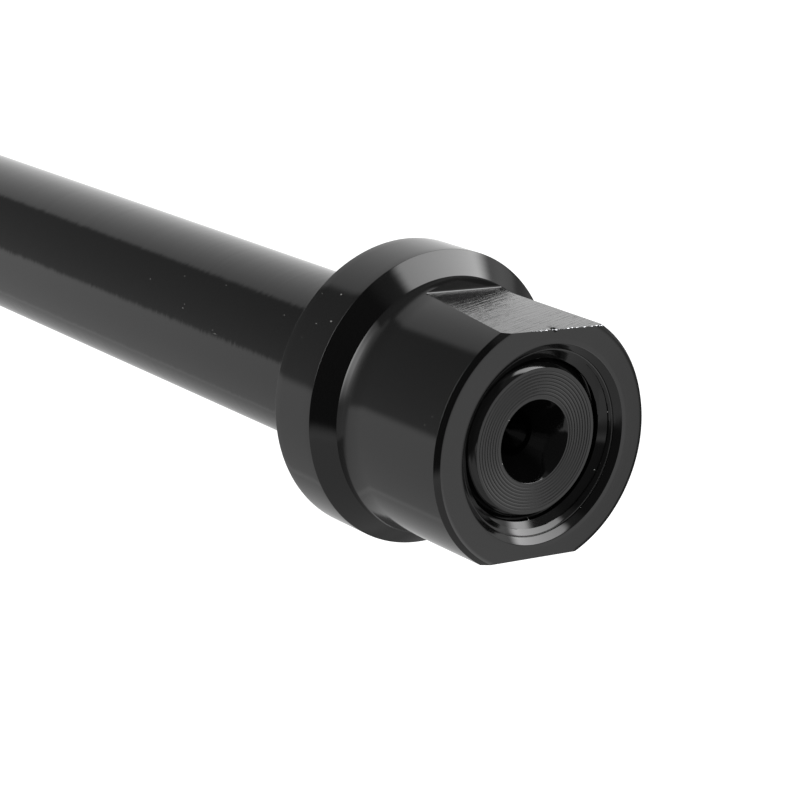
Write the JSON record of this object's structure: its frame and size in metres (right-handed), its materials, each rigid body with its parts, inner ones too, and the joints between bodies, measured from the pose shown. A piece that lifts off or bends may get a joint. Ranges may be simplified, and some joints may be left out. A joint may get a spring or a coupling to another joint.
{
  "type": "bicycle thru axle",
  "caption": "Thru axle for a bicycle hub: a plain turned shaft with a threaded tip and a flanged head with two milled flats, screwed fast on its end.",
  "frame": {"origin": "centre of the shaft's tip, on the surface the axle stands on", "axes": "+Z along the axle from the tip to the head's end face; the head's milled flats face -X and +X"},
  "size_m": [0.02, 0.02, 0.1752],
  "materials": {
    "shaft": "black anodised, fine turned",
    "head": "black anodised, turned, with two milled flats"
  },
  "bodies": {
    "root": {"axle_shaft": "shaft", "flanged_head": "head"}
  },
  "joints": []
}
